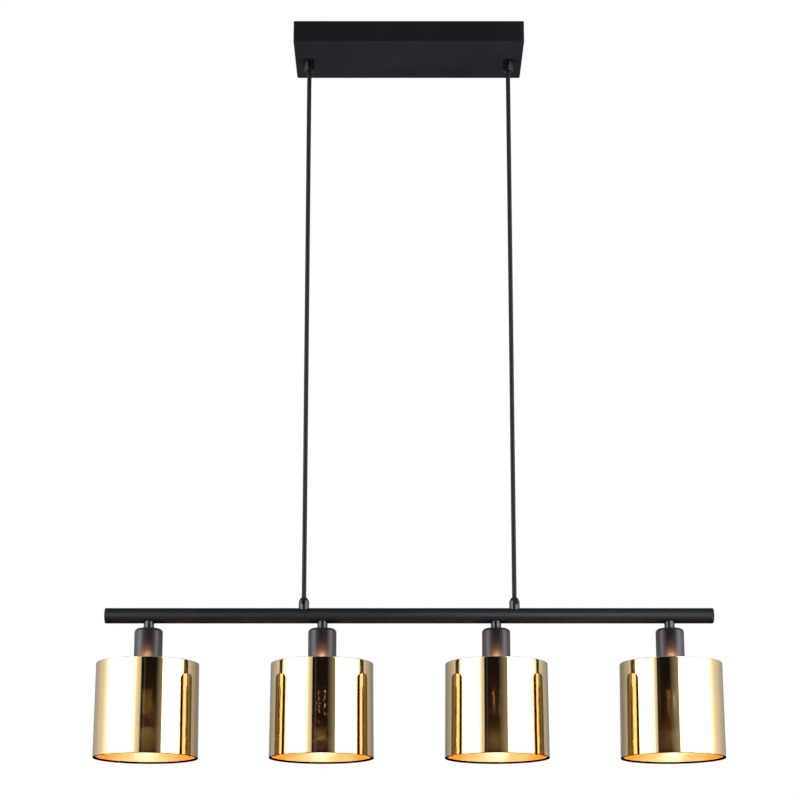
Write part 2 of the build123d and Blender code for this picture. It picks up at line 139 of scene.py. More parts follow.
def rounded(corners, steps=6):
    """Outline through corners given as (radius, height, fillet), each corner turned into an arc."""
    outline = []
    count = len(corners)
    for index, (r, z, fillet) in enumerate(corners):
        here = Vector((r, z))
        back = (Vector(corners[index - 1][:2]) - here).normalized()
        ahead = (Vector(corners[(index + 1) % count][:2]) - here).normalized()
        if fillet <= 0:
            outline.append((r, z))
            continue
        half = back.angle(ahead) / 2
        centre = here + (back + ahead).normalized() * fillet / sin(half)
        start = here + back * fillet / tan(half) - centre
        end = here + ahead * fillet / tan(half) - centre
        sweep = pi - 2 * half
        for step in range(steps + 1):
            t = step / steps
            point = centre + (start * sin((1 - t) * sweep) + end * sin(t * sweep)) / sin(sweep)
            outline.append((point.x, point.y))
    return outline


def lathe_bmesh(bm, outline, x, segments, closed=True):
    """Turn an outline of (radius, height) about the upright line through (x, 0)."""
    columns = []
    for segment in range(segments):
        angle = 2 * pi * segment / segments
        columns.append([bm.verts.new((x + r * cos(angle), r * sin(angle), z)) for r, z in outline])
    count = len(outline)
    for segment in range(segments):
        near, far = columns[segment], columns[(segment + 1) % segments]
        for row in range(count if closed else count - 1):
            after = (row + 1) % count
            corners = [near[row], far[row], far[after], near[after]]
            radii = outline[row][0], outline[after][0]
            if radii[0] < 1e-7 and radii[1] < 1e-7:
                continue
            if radii[0] < 1e-7:
                corners = [near[row], far[after], near[after]]
            elif radii[1] < 1e-7:
                corners = [near[row], far[row], near[after]]
            bm.faces.new(corners)


def lathe(name, outline, x, body, material, segments=96, closed=True, sharp_angle=35.0):
    """A turned piece about the upright line through (x, 0)."""
    bm = bmesh.new()
    lathe_bmesh(bm, outline, x, segments, closed)
    return finish_mesh(name, from_bmesh(bm, name), body, material, sharp_angle)


def add_rod(bm, start, end, radius, segments=16, dome=0.5):
    """Add a straight rod with domed ends to a bmesh."""
    direction = (end - start).normalized()
    turn = direction.to_track_quat("Z", "Y").to_matrix()
    length = (end - start).length
    domed = [(0.0, 0.0), (0.6 * radius, 0.12 * dome * radius), (radius, dome * radius)]
    rings = domed + [(ring_radius, length - height) for ring_radius, height in reversed(domed)]
    loops = []
    for ring_radius, height in rings:
        loops.append([
            bm.verts.new(start + turn @ Vector((ring_radius * cos(2 * pi * k / segments),
                                                ring_radius * sin(2 * pi * k / segments), height)))
            for k in range(segments)])
    for lower, upper in zip(loops, loops[1:]):
        for k in range(segments):
            after = (k + 1) % segments
            corners = [lower[k], lower[after], upper[after], upper[k]]
            bm.faces.new(corners)


# Materials ------------------------------------------------------------------------


class Shader:
    """A Principled material with a few helpers for its procedural detail."""

    def __init__(self, name, colour, roughness, metallic=0.0, **sockets):
        self.material = bpy.data.materials.new(name)
        self.material.use_nodes = True
        self.nodes = self.material.node_tree.nodes
        self.links = self.material.node_tree.links
        self.principled = self.nodes["Principled BSDF"]
        self.set("Base Color", (*colour, 1.0))
        self.set("Roughness", roughness)
        self.set("Metallic", metallic)
        for socket, value in sockets.items():
            self.set(socket.replace("_", " "), value)
        self.coordinates = self.nodes.new("ShaderNodeTexCoord").outputs["Object"]

    def set(self, socket, value):
        self.principled.inputs[socket].default_value = value

    def stretched(self, scale):
        """Object coordinates multiplied by a scale for each axis."""
        mapping = self.nodes.new("ShaderNodeMapping")
        mapping.inputs["Scale"].default_value = scale
        self.links.new(self.coordinates, mapping.inputs["Vector"])
        return mapping.outputs["Vector"]

    def noise(self, scale, detail=3.0, roughness=0.55, vector=None):
        texture = self.nodes.new("ShaderNodeTexNoise")
        texture.inputs["Scale"].default_value = scale
        texture.inputs["Detail"].default_value = detail
        texture.inputs["Roughness"].default_value = roughness
        self.links.new(vector or self.coordinates, texture.inputs["Vector"])
        return texture.outputs["Fac"]

    def spread(self, value, low, high, from_low=0.3, from_high=0.7):
        """Map a 0 to 1 value on to a range."""
        ranged = self.nodes.new("ShaderNodeMapRange")
        ranged.inputs["From Min"].default_value = from_low
        ranged.inputs["From Max"].default_value = from_high
        ranged.inputs["To Min"].default_value = low
        ranged.inputs["To Max"].default_value = high
        self.links.new(value, ranged.inputs["Value"])
        return ranged.outputs["Result"]

    def drive(self, socket, value):
        self.links.new(value, self.principled.inputs[socket])

    def blend(self, value, first, second, socket="Base Color"):
        """Colour a socket from first to second by a 0 to 1 value."""
        ramp = self.nodes.new("ShaderNodeValToRGB")
        ramp.color_ramp.elements[0].position = 0.3
        ramp.color_ramp.elements[0].color = (*first, 1.0)
        ramp.color_ramp.elements[1].position = 0.7
        ramp.color_ramp.elements[1].color = (*second, 1.0)
        self.links.new(value, ramp.inputs["Fac"])
        self.drive(socket, ramp.outputs["Color"])

    def bump(self, value, depth, strength=1.0):
        """Raise the surface by a 0 to 1 value; depth is in metres."""
        bump = self.nodes.new("ShaderNodeBump")
        bump.inputs["Strength"].default_value = strength
        bump.inputs["Distance"].default_value = depth
        self.links.new(value, bump.inputs["Height"])
        if self.principled.inputs["Normal"].is_linked:
            earlier = self.principled.inputs["Normal"].links[0].from_socket
            self.links.new(earlier, bump.inputs["Normal"])
        self.links.new(bump.outputs["Normal"], self.principled.inputs["Normal"])


def scaled(colour, factor):
    return tuple(min(1.0, channel * factor) for channel in colour)


def powder_coat(name, colour, roughness, grain, gloss):
    """Fine satin powder coat: a grainy skin with slightly uneven gloss."""
    coat = Shader(name, colour, roughness, Specular_IOR_Level=gloss)
    fine = coat.noise(grain, 4.0)
    coat.blend(coat.noise(9.0, 2.0), scaled(colour, 0.85), scaled(colour, 1.2))
    coat.drive("Roughness", coat.spread(coat.noise(35.0, 3.0), roughness - 0.05, roughness + 0.06))
    coat.bump(fine, 0.00003, 0.6)
    return coat.material


def satin_metal(name, colour, roughness, lines=(900.0, 900.0, 40.0), metallic=1.0, gloss=0.5):
    """Plated or lacquered metal with faint lines left by turning or rolling."""
    metal = Shader(name, colour, roughness, metallic, Specular_IOR_Level=gloss)
    grain = metal.noise(1.0, 3.0, vector=metal.stretched(lines))
    metal.blend(grain, scaled(colour, 0.88), scaled(colour, 1.12))
    metal.drive("Roughness", metal.spread(grain, roughness - 0.04, roughness + 0.05))
    metal.bump(grain, 0.000003, 0.5)
    return metal.material


def moulded_plastic(name, colour, roughness, grain=1400.0, gloss=0.5):
    """Moulded plastic with a fine spark-eroded texture."""
    plastic = Shader(name, colour, roughness, Specular_IOR_Level=gloss)
    plastic.blend(plastic.noise(12.0, 2.0), scaled(colour, 0.9), scaled(colour, 1.1))
    plastic.drive("Roughness", plastic.spread(plastic.noise(60.0), roughness - 0.05, roughness + 0.05))
    plastic.bump(plastic.noise(grain, 2.0), 0.00002, 0.5)
    return plastic.material


def mirror_gold(name, colour, roughness, alpha):
    """Metallised gold film: nearly a mirror, faintly see-through, with very slight haze."""
    gold = Shader(name, colour, roughness, 1.0, Alpha=alpha)
    gold.blend(gold.noise(6.0, 2.0), scaled(colour, 0.97), scaled(colour, 1.02))
    gold.drive("Roughness", gold.spread(gold.noise(45.0, 4.0), roughness * 0.6, roughness * 1.5))
    gold.bump(gold.noise(14.0, 1.0), 0.00004, 0.25)
    return gold.material


def satin_gold(name, colour, roughness, sheen, tint):
    """The film's inner face: warm satin gold with fine upright lines, under a smoother pale lacquer
    that reflects the share "sheen". From outside it is see-through, darkened by the tint."""
    gold = Shader(name, colour, roughness, 1.0)
    nodes, links = gold.nodes, gold.links
    lines = gold.noise(1.0, 3.0, vector=gold.stretched((700.0, 700.0, 15.0)))
    gold.blend(lines, scaled(colour, 0.9), scaled(colour, 1.08))
    gold.bump(lines, 0.00001, 0.4)
    lacquer_share_of_roughness = 0.40
    gloss = nodes.new("ShaderNodeBsdfAnisotropic")
    gloss.distribution = "BECKMANN"
    gloss.inputs["Roughness"].default_value = roughness
    links.new(gold.principled.inputs["Base Color"].links[0].from_socket, gloss.inputs["Color"])
    links.new(gold.principled.inputs["Normal"].links[0].from_socket, gloss.inputs["Normal"])
    lacquer = nodes.new("ShaderNodeBsdfAnisotropic")
    lacquer.distribution = "BECKMANN"
    lacquer.inputs["Roughness"].default_value = lacquer_share_of_roughness * roughness
    lacquer.inputs["Color"].default_value = (1.0, 0.95, 0.84, 1.0)
    coated = nodes.new("ShaderNodeMixShader")
    coated.inputs["Fac"].default_value = sheen
    links.new(gloss.outputs["BSDF"], coated.inputs[1])
    links.new(lacquer.outputs["BSDF"], coated.inputs[2])
    through = nodes.new("ShaderNodeBsdfTransparent")
    through.inputs["Color"].default_value = (*tint, 1.0)
    side = nodes.new("ShaderNodeNewGeometry")
    mix = nodes.new("ShaderNodeMixShader")
    links.new(side.outputs["Backfacing"], mix.inputs["Fac"])
    links.new(coated.outputs["Shader"], mix.inputs[1])
    links.new(through.outputs["BSDF"], mix.inputs[2])
    links.new(mix.outputs["Shader"], nodes["Material Output"].inputs["Surface"])
    nodes.remove(gold.principled)
    return gold.material


def clear_glass(name, alpha):
    """Thin clear glass, hardly visible but for its gloss."""
    glass = Shader(name, (1.0, 0.97, 0.9), 0.03, Alpha=alpha, Specular_IOR_Level=0.8)
    glass.drive("Roughness", glass.spread(glass.noise(80.0), 0.02, 0.05))
    return glass.material


def lit_filament(name, strength):
    """Phosphor-coated LED filament, lit."""
    filament = Shader(name, (1.0, 0.62, 0.22), 0.6, Emission_Strength=strength)
    grains = filament.noise(2500.0, 2.0)
    filament.blend(grains, (1.0, 0.72, 0.46), (1.0, 0.82, 0.58), "Emission Color")
    filament.bump(grains, 0.00004, 0.5)
    return filament.material


BLACK_COAT = powder_coat("black_coated_steel", (0.0016, 0.0018, 0.0023), 0.49, 1800.0, 0.11)
CANOPY_COAT = powder_coat("canopy_coated_steel", (0.0031, 0.0034, 0.0041), 0.62, 1500.0, 0.05)
WIRE = powder_coat("black_wire", (0.0015, 0.0012, 0.0010), 0.85, 2500.0, 0.0)
FITTING = satin_metal("black_metal_fittings", (0.040, 0.040, 0.043), 0.26)
GUNMETAL = satin_metal("gunmetal_coating", (0.056, 0.055, 0.062), 0.40, metallic=0.85, gloss=0.0)
FASTENER = satin_metal("black_fasteners", (0.006, 0.006, 0.007), 0.45, gloss=0.2)
ZINC = satin_metal("zinc_plated_steel", (0.50, 0.50, 0.48), 0.32, (60.0, 900.0, 900.0))
BRASS = satin_metal("brass", (0.62, 0.44, 0.20), 0.3)
NICKEL = satin_metal("nickel", (0.55, 0.53, 0.50), 0.2)
CABLE = moulded_plastic("black_cable", (0.005, 0.005, 0.0055), 0.36, 900.0, 0.12)
HOLDER = moulded_plastic("holder_plastic", (0.012, 0.012, 0.013), 0.45)
NYLON = moulded_plastic("white_plastic", (0.60, 0.60, 0.55), 0.4)
SLEEVE = moulded_plastic("wire_sleeve", (0.25, 0.25, 0.26), 0.5)
BLACK_GLASS = moulded_plastic("cap_insulator", (0.010, 0.010, 0.014), 0.1)
GOLD_FACE = mirror_gold("mirror_gold", (0.58, 0.45, 0.245), 0.02, 0.85)
GOLD_INSIDE = satin_gold("satin_gold", (0.74, 0.19, 0.014), 0.70, 0.40, (0.038, 0.028, 0.010))
GLASS = clear_glass("clear_glass", 0.08)
STEM_GLASS = clear_glass("stem_glass", 0.3)
FILAMENT = lit_filament("led_filament", 36.0)

# Frame nodes whose shape is right get their materials here -------------------------

NODE_MATERIALS = {
    "canopy_cover": CANOPY_COAT, "ceiling_bracket": ZINC, "cover_screws": FASTENER,
    "terminal_block": NYLON, "terminal_screws": ZINC, "earth_screw": BRASS,
    "gland_left": FITTING, "gland_right": FITTING, "gland_locknuts": ZINC,
    "gland_grub_screws": FASTENER, "cable_tail_left": CABLE, "cable_tail_right": CABLE,
    "bar_tube": BLACK_COAT, "end_plug_left": BLACK_COAT, "end_plug_right": BLACK_COAT,
    "threaded_bosses": ZINC, "connector_left": FITTING, "connector_right": FITTING,
    "connector_grub_screws": FASTENER, "bar_harness": SLEEVE, "holder_contacts": BRASS,
    "holder_rings": HOLDER,
}
for number in HEADS:
    NODE_MATERIALS[f"neck_{number}"] = FITTING
    NODE_MATERIALS[f"lampholder_{number}"] = HOLDER

for node, material in NODE_MATERIALS.items():
    mesh = frame["nodes"][node].data
    mesh.materials.clear()
    mesh.materials.append(material)


# Cables ---------------------------------------------------------------------------


def make_cable(side):
    """The straight hanging cable, turned as a sheath with a domed top."""
    node = f"cable_{side}"
    low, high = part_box(node)
    x, radius = middle(node).x, half_width(node)
    bend = high.z - radius
    outline = [(0.0, low.z), (radius, low.z)]
    rows = 60
    outline += [(radius, low.z + (bend - low.z) * row / rows) for row in range(1, rows + 1)]
    dome_steps = 8
    outline += [(radius * cos(pi / 2 * k / dome_steps), bend + radius * sin(pi / 2 * k / dome_steps))
                for k in range(1, dome_steps)]
    outline.append((0.0, high.z))
    cable = lathe(f"cable_sheath_{side}", outline, x, "suspension", CABLE, 32, closed=False)
    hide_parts(node)
    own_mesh(cable)


for side in SIDES:
    make_cable(side)

# Heads ------------------------------------------------------------------------------


def make_cup(number):
    """Round-shouldered cup, open below."""
    node = f"socket_cup_{number}"
    low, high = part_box(node)
    x, radius = middle(node).x, half_width(node)
    wall, shoulder, hole = 1.2 * MM, 5.0 * MM, 5.2 * MM
    outline = rounded([
        (hole, high.z, 0), (radius, high.z, shoulder), (radius, low.z, 0.3 * MM),
        (radius - wall, low.z, 0.3 * MM), (radius - wall, high.z - wall, shoulder - wall),
        (hole, high.z - wall, 0),
    ], steps=10)
    cup = lathe(f"cup_shell_{number}", outline, x, "bar", GUNMETAL, 128)
    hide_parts(node)


def make_shade(number):
    """Mirror-gold skin, very slightly out of round, with a satin inner face."""
    node = f"shade_{number}"
    low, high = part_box(node)
    x = middle(node).x
    bottom_radius = half_width(node)
    wall = 0.8 * MM
    top_radius = bottom_radius - 1.0 * MM
    segments, rows = 288, 16
    rolled_edge = 0.45 * MM
    shares = [0.0, 0.006, 0.012] + [row / rows for row in range(1, rows + 1)]
    last = len(shares) - 1
    bm = bmesh.new()

    def column(angle, inset):
        points = []
        for share in shares:
            wave = 0.12 * sin(2 * angle + 1.3 * number)
            wave += 0.06 * sin(5 * angle + 2.1 * number + 2 * share)
            wave += 0.02 * sin(11 * angle + 0.7 * number - 3 * share)
            held = 1 - 0.6 * share
            radius = top_radius + (bottom_radius - top_radius) * share - inset + wave * held * MM
            if share == 0 and inset == 0:
                radius -= rolled_edge
            z = high.z + (low.z - high.z) * share
            points.append(bm.verts.new((x + radius * cos(angle), radius * sin(angle), z)))
        return points

    outer = [column(2 * pi * s / segments, 0.0) for s in range(segments)]
    inner = [column(2 * pi * s / segments, wall) for s in range(segments)]
    for s in range(segments):
        after = (s + 1) % segments
        for row in range(last):
            bm.faces.new([outer[s][row], outer[s][row + 1], outer[after][row + 1], outer[after][row]])
            corners = [inner[s][row], inner[after][row], inner[after][row + 1], inner[s][row + 1]]
            face = bm.faces.new(corners)
            face.material_index = 1
        for row in (0, last):
            face = bm.faces.new([outer[s][row], outer[after][row], inner[after][row], inner[s][row]])
            face.material_index = 1
    skin = finish_mesh(f"shade_skin_{number}", from_bmesh(bm, node), "bar", [GOLD_FACE, GOLD_INSIDE])
    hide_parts(node)


def make_rim(number):
    """Black ring inside and under the shade's lower edge."""
    node = f"shade_rim_{number}"
    low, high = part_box(node)
    x, radius = middle(node).x, half_width(node)
    wall, width, lip = 0.85 * MM, 2.2 * MM, 0.5 * MM
    inside = radius - wall - width
    outline = rounded([
        (radius - wall, high.z, 0.4 * MM), (radius - wall, low.z + lip, 0),
        (radius, low.z + lip, 0.1 * MM), (radius, low.z, 0.25 * MM),
        (inside, low.z, 0.7 * MM), (inside, high.z, 0.7 * MM),
    ])
    rim = lathe(f"rim_ring_{number}", outline, x, "bar", WIRE, 192)
    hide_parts(node)


def make_fitter(number):
    """Three flat arms from a hub to a round wire inside the shade's top edge."""
    node = f"shade_fitter_{number}"
    low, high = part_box(node)
    x, radius, wire = middle(node).x, half_width(node), high.z - low.z
    hub = half_width("holder_rings") - 1.5 * head_spacing
    hole = half_width(f"lampholder_{number}") + 0.3 * MM
    plate, arm_width = 1.5 * MM, 5.0 * MM
    bm = bmesh.new()
    hub_ring = rounded([(hole, high.z, 0.3 * MM), (hub, high.z, 0.3 * MM),
                        (hub, high.z - plate, 0.3 * MM), (hole, high.z - plate, 0.3 * MM)])
    lathe_bmesh(bm, hub_ring, x, 96)
    steps = 24
    middle_radius, middle_height = radius - wire / 2, low.z + wire / 2
    wire_ring = [(middle_radius + wire / 2 * cos(2 * pi * k / steps),
                  middle_height + wire / 2 * sin(2 * pi * k / steps)) for k in range(steps)]
    lathe_bmesh(bm, wire_ring, x, 192)
    arms, overlap = 3, 2 * MM
    for arm in range(arms):
        turn = Matrix.Rotation(pi / 2 + 2 * pi * arm / arms, 4, "Z")
        place = Matrix.Translation((x, 0, high.z - plate / 2)) @ turn
        rounded_bar(bm, place, (hub - overlap, middle_radius), arm_width, plate)
    fitter = finish_mesh(f"fitter_{number}", from_bmesh(bm, node), "bar", WIRE)
    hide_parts(node)


def rounded_bar(bm, place, span, width, thickness, steps=4):
    """Add a flat bar along local X with rounded long edges."""
    corner = 0.45 * min(width, thickness)
    section = []
    for quarter, (cy, cz) in enumerate(((1, 1), (-1, 1), (-1, -1), (1, -1))):
        for step in range(steps + 1):
            angle = pi / 2 * (quarter + step / steps)
            section.append((cy * (width / 2 - corner) + corner * cos(angle),
                            cz * (thickness / 2 - corner) + corner * sin(angle)))
    ends = [[bm.verts.new(place @ Vector((end, y, z))) for y, z in section] for end in span]
    count = len(section)
    for k in range(count):
        after = (k + 1) % count
        bm.faces.new([ends[0][k], ends[0][after], ends[1][after], ends[1][k]])
    bm.faces.new(ends[0])
    bm.faces.new(ends[1])


def smooth_between(before, first, second, after, t):
    """A value on the smooth curve from the first to the second of four values in a row."""
    slope = second - before
    bend = 2 * before - 5 * first + 4 * second - after
    twist = 3 * first - before - 3 * second + after
    return 0.5 * (2 * first + slope * t + bend * t ** 2 + twist * t ** 3)


def bulb_outline(low, high, radius, neck):
    """Candle-shaped outline from the cap down to the tip."""
    shape = [(0.0, neck / radius), (0.12, 0.53), (0.28, 0.83), (0.51, 1.0),
             (0.72, 0.89), (0.90, 0.54), (1.0, 0.0)]
    before = [(-0.12, neck / radius)]
    beyond = [(0.90, -0.54)]
    points = before + shape + beyond
    steps = 10
    outline = []
    for p0, p1, p2, p3 in zip(points, points[1:], points[2:], points[3:]):
        for step in range(steps):
            t = step / steps
            share, width = (smooth_between(*four, t) for four in zip(p0, p1, p2, p3))
            outline.append((max(0.0, width * radius), high - share * (high - low)))
    outline.append((0.0, low))
    return outline


def make_glass(number):
    """Thin candle-shaped glass."""
    node = f"bulb_glass_{number}"
    low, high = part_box(node)
    radius, neck = half_width(node), half_width(f"bulb_cap_{number}")
    wall = 0.6 * MM
    outer = bulb_outline(low.z, high.z, radius, neck)
    inner = bulb_outline(low.z + wall, high.z, radius - wall, neck - wall)
    glass = lathe(f"glass_{number}", outer + inner[::-1], middle(node).x, f"bulb_{number}", GLASS, 96)
    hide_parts(node)


def make_cap(number):
    """Screw cap with a rolled helical thread, a dark glass insulator and an end contact."""
    node = f"bulb_cap_{number}"
    low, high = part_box(node)
    x, crest = middle(node).x, half_width(node)
    root, pitch = 0.91 * crest, 2.82 * MM
    thread_low, thread_high = low.z + 2.0 * MM, high.z - 4.0 * MM
    columns, rows = 64, 96
    bm = bmesh.new()
    rings = []

    def ring(radius_at, z):
        rings.append([bm.verts.new((x + radius_at(2 * pi * k / columns) * cos(2 * pi * k / columns),
                                    radius_at(2 * pi * k / columns) * sin(2 * pi * k / columns), z))
                      for k in range(columns)])

    def plain(radius, z):
        ring(lambda angle: radius, z)

    at_axis = 0.0001 * crest
    plain(at_axis, low.z)
    plain(crest - 0.2 * MM, low.z)
    plain(crest, low.z + 0.3 * MM)
    plain(crest, low.z + 1.2 * MM)
    for row in range(rows + 1):
        z = thread_low + (thread_high - thread_low) * row / rows
        fade = max(0.0, min(1.0, (z - thread_low) / pitch, (thread_high - z) / pitch))

        def threaded(angle):
            return root + (crest - root) * fade * (0.5 + 0.5 * cos(2 * pi * z / pitch - angle))

        ring(threaded, z)
    metal_rings = len(rings)
    plain(root - 1.0 * MM, high.z - 3.4 * MM)
    plain(0.50 * crest, high.z - 1.2 * MM)
    insulator_rings = len(rings)
    plain(0.36 * crest, high.z - 0.9 * MM)
    plain(0.30 * crest, high.z - 0.2 * MM)
    plain(0.16 * crest, high.z)
    plain(at_axis, high.z)
    for index, (lower, upper) in enumerate(zip(rings, rings[1:]), start=1):
        for k in range(columns):
            after = (k + 1) % columns
            face = bm.faces.new([lower[k], lower[after], upper[after], upper[k]])
            face.material_index = 1 if metal_rings <= index < insulator_rings else 0
    materials = [NICKEL, BLACK_GLASS]
    cap = finish_mesh(f"cap_{number}", from_bmesh(bm, node), f"bulb_{number}", materials, 50.0)
    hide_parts(node)


def make_filaments(number, turn):
    """Four lit rods held by thin wires on a glass stem, turned as the bulb stopped when screwed in."""
    node = f"bulb_filaments_{number}"
    low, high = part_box(node)
    x = middle(node).x
    rod_radius, tip_gap, rod_share = 0.8 * MM, 0.6 * MM, 0.58
    rod_low = low.z + tip_gap
    rod_high = rod_low + rod_share * (high.z - low.z)
    reach_high = 6.3 * MM
    reach_low = 0.7 * reach_high
    angles = [turn + rod * pi / 2 for rod in range(4)]
    bm = bmesh.new()
    for angle in angles:
        upper = Vector((x + reach_high * cos(angle), reach_high * sin(angle), rod_high))
        lower = Vector((x + reach_low * cos(angle), reach_low * sin(angle), rod_low))
        add_rod(bm, lower, upper, rod_radius, 12)
    lit_faces = len(bm.faces)
    wire = 0.25 * MM
    for height, reach in ((rod_high, reach_high), (rod_low, reach_low)):
        hub = Vector((x, 0, height))
        for angle in angles:
            add_rod(bm, hub, hub + Vector((reach * cos(angle), reach * sin(angle), 0)), wire, 8)
    add_rod(bm, Vector((x, 0, rod_low)), Vector((x, 0, rod_high + 2 * MM)), 1.6 * wire, 10)
    wire_faces = len(bm.faces)
    neck = half_width(f"bulb_cap_{number}")
    stem = [(0.0, rod_high - 1 * MM), (1.6 * MM, rod_high), (1.5 * MM, rod_high + 6 * MM),
            (2.2 * MM, rod_high + 14 * MM), (0.6 * neck, high.z - 2 * MM),
            (0.8 * neck, high.z), (0.0, high.z)]
    lathe_bmesh(bm, stem, x, 32, closed=False)
    bm.faces.ensure_lookup_table()
    for index, face in enumerate(bm.faces):
        face.material_index = 0 if index < lit_faces else 1 if index < wire_faces else 2
    materials = [FILAMENT, ZINC, STEM_GLASS]
    piece = finish_mesh(f"filaments_{number}", from_bmesh(bm, node), f"bulb_{number}", materials)
    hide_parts(node)


bulb_turns = (30, 45, 45, 22)
for number, turn in zip(HEADS, bulb_turns):
    make_cup(number)
    make_shade(number)
    make_rim(number)
    make_fitter(number)
    make_glass(number)
    make_cap(number)
    make_filaments(number, radians(turn))

# Lamps ------------------------------------------------------------------------------
# Each lamp lights only the pieces of one collection and rides with its body.


def pieces_named(collection_name, *starts):
    """A collection of the pieces whose names start in one of these ways."""
    collection = bpy.data.collections.new(collection_name)
    for piece in list(bpy.context.scene.objects):
        if piece.name.startswith(starts):
            collection.objects.link(piece)
    return collection


def add_lamp(name, place, body, lights_up, watts, radius, colour, glints=False):
    """Small round lamp for the pieces in one collection, with or without glints on them."""
    lamp = bpy.data.lights.new(name, "POINT")
    lamp.color = colour
    lamp.energy = watts
    lamp.shadow_soft_size = radius
    source = bpy.data.objects.new(name, lamp)
    source.location = place
    source.visible_camera = False
    source.visible_glossy = glints
    source.light_linking.receiver_collection = lights_up
    bpy.context.scene.collection.objects.link(source)
    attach(source, body)


lamplit = pieces_named("lamplit", "shade_", "cap_", "fitter_")
glowing = pieces_named("glowing", "cup_")
overhead = pieces_named("overhead", "canopy")
banded = pieces_named("banded", "bar_tube", "end_plug")


def light_bulb(number):
    """Most of the light that the filaments give: it falls on the shades, fitters and caps only."""
    bpy.data.objects[f"filaments_{number}"].light_linking.receiver_collection = lamplit
    below_rods = 14 * MM
    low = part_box(f"bulb_filaments_{number}")[0]
    place = Vector((middle(f"shade_{number}").x, 0, low.z - below_rods))
    add_lamp(f"lamp_{number}", place, f"bulb_{number}", lamplit,
             watts=0.36, radius=7 * MM, colour=(1.0, 0.90, 0.80), glints=True)


def light_cup(number):
    """What the shade's top throws back at the cup: three warm lamps round it, one in front."""
    shade_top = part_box(f"shade_{number}")[1].z
    reach, above, count = 26 * MM, 3 * MM, 3
    x = middle(f"shade_{number}").x
    for side in range(count):
        angle = radians(360 / count * side - 90)
        place = Vector((x + reach * cos(angle), reach * sin(angle), shade_top + above))
        add_lamp(f"rebound_{number}_{side + 1}", place, "bar", glowing,
                 watts=0.40, radius=6 * MM, colour=(1.0, 0.52, 0.26))


def light_underside(number):
    """Warm light on the bar's underside, between this head and the next."""
    below = 120 * MM
    place = Vector((middle(f"shade_{number}").x + head_spacing / 2, 10 * MM, bar.z - below))
    add_lamp(f"underglow_{number}", place, "bar", banded,
             watts=7.0, radius=10 * MM, colour=(1.0, 0.55, 0.22))


for number in HEADS:
    light_bulb(number)
    light_cup(number)
for number in HEADS[:-1]:
    light_underside(number)

# Light thrown up at the canopy's underside, as from a table below.
fill_forward, fill_down = 0.1, 0.7
add_lamp("canopy_fill", Vector((0, -fill_forward, -fill_down)), "canopy", overhead,
         watts=80.0, radius=0.2, colour=(0.94, 0.96, 1.0))

# A soft band of light along the front of the bar, fainter between its two lamps.
band_forward, band_up = 0.6, 0.07
for name, x, watts in (("band_left", -0.42, 12.0), ("band_right", 0.24, 28.0)):
    add_lamp(name, Vector((x, -band_forward, bar.z + band_up)), "bar", banded,
             watts=watts, radius=0.15, colour=(0.90, 0.94, 1.0), glints=True)

# Studio -----------------------------------------------------------------------------


def graded_light(name, strength, axis, span, stops, colour=(1.0, 1.0, 1.0)):
    """Glowing material whose strength varies along one axis; stops are (metres, share of strength)."""
    material = bpy.data.materials.new(name)
    material.use_nodes = True
    nodes, links = material.node_tree.nodes, material.node_tree.links
    nodes.clear()
    place = nodes.new("ShaderNodeTexCoord")
    split = nodes.new("ShaderNodeSeparateXYZ")
    links.new(place.outputs["Object"], split.inputs["Vector"])
    along = nodes.new("ShaderNodeMapRange")
    along.inputs["From Min"].default_value = span[0]
    along.inputs["From Max"].default_value = span[1]
    links.new(split.outputs[axis], along.inputs["Value"])
    ramp = nodes.new("ShaderNodeValToRGB")
    elements = ramp.color_ramp.elements
    while len(elements) < len(stops):
        elements.new(1.0)
    for element, (position, share) in zip(elements, stops):
        element.position = (position - span[0]) / (span[1] - span[0])
        element.color = (*scaled(colour, share), 1.0)
    links.new(along.outputs["Result"], ramp.inputs["Fac"])
    glow = nodes.new("ShaderNodeEmission")
    glow.inputs["Strength"].default_value = strength
    links.new(ramp.outputs["Color"], glow.inputs["Color"])
    output = nodes.new("ShaderNodeOutputMaterial")
    links.new(glow.outputs["Emission"], output.inputs["Surface"])
    return material


def panel(name, corners, material):
    """Flat studio panel that the camera doesn't see."""
    mesh = bpy.data.meshes.new(name)
    mesh.from_pydata(corners, [], [(0, 1, 2, 3)])
    mesh.materials.append(material)
    card = bpy.data.objects.new(name, mesh)
    bpy.context.scene.collection.objects.link(card)
    card.visible_camera = False
    card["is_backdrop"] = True
    return card


def upright(start, end):
    """Corners of an upright panel, as high as the walls, between two floor points."""
    return [(*start, wall_low), (*end, wall_low), (*end, wall_high), (*start, wall_high)]


def show_camera(tree, others_see, camera_sees, output):
    """Give the output one shader for what the camera sees and another for everything else."""
    ray = tree.nodes.new("ShaderNodeLightPath")
    mix = tree.nodes.new("ShaderNodeMixShader")
    tree.links.new(ray.outputs["Is Camera Ray"], mix.inputs["Fac"])
    tree.links.new(others_see, mix.inputs[1])
    tree.links.new(camera_sees, mix.inputs[2])
    tree.links.new(mix.outputs["Shader"], output)


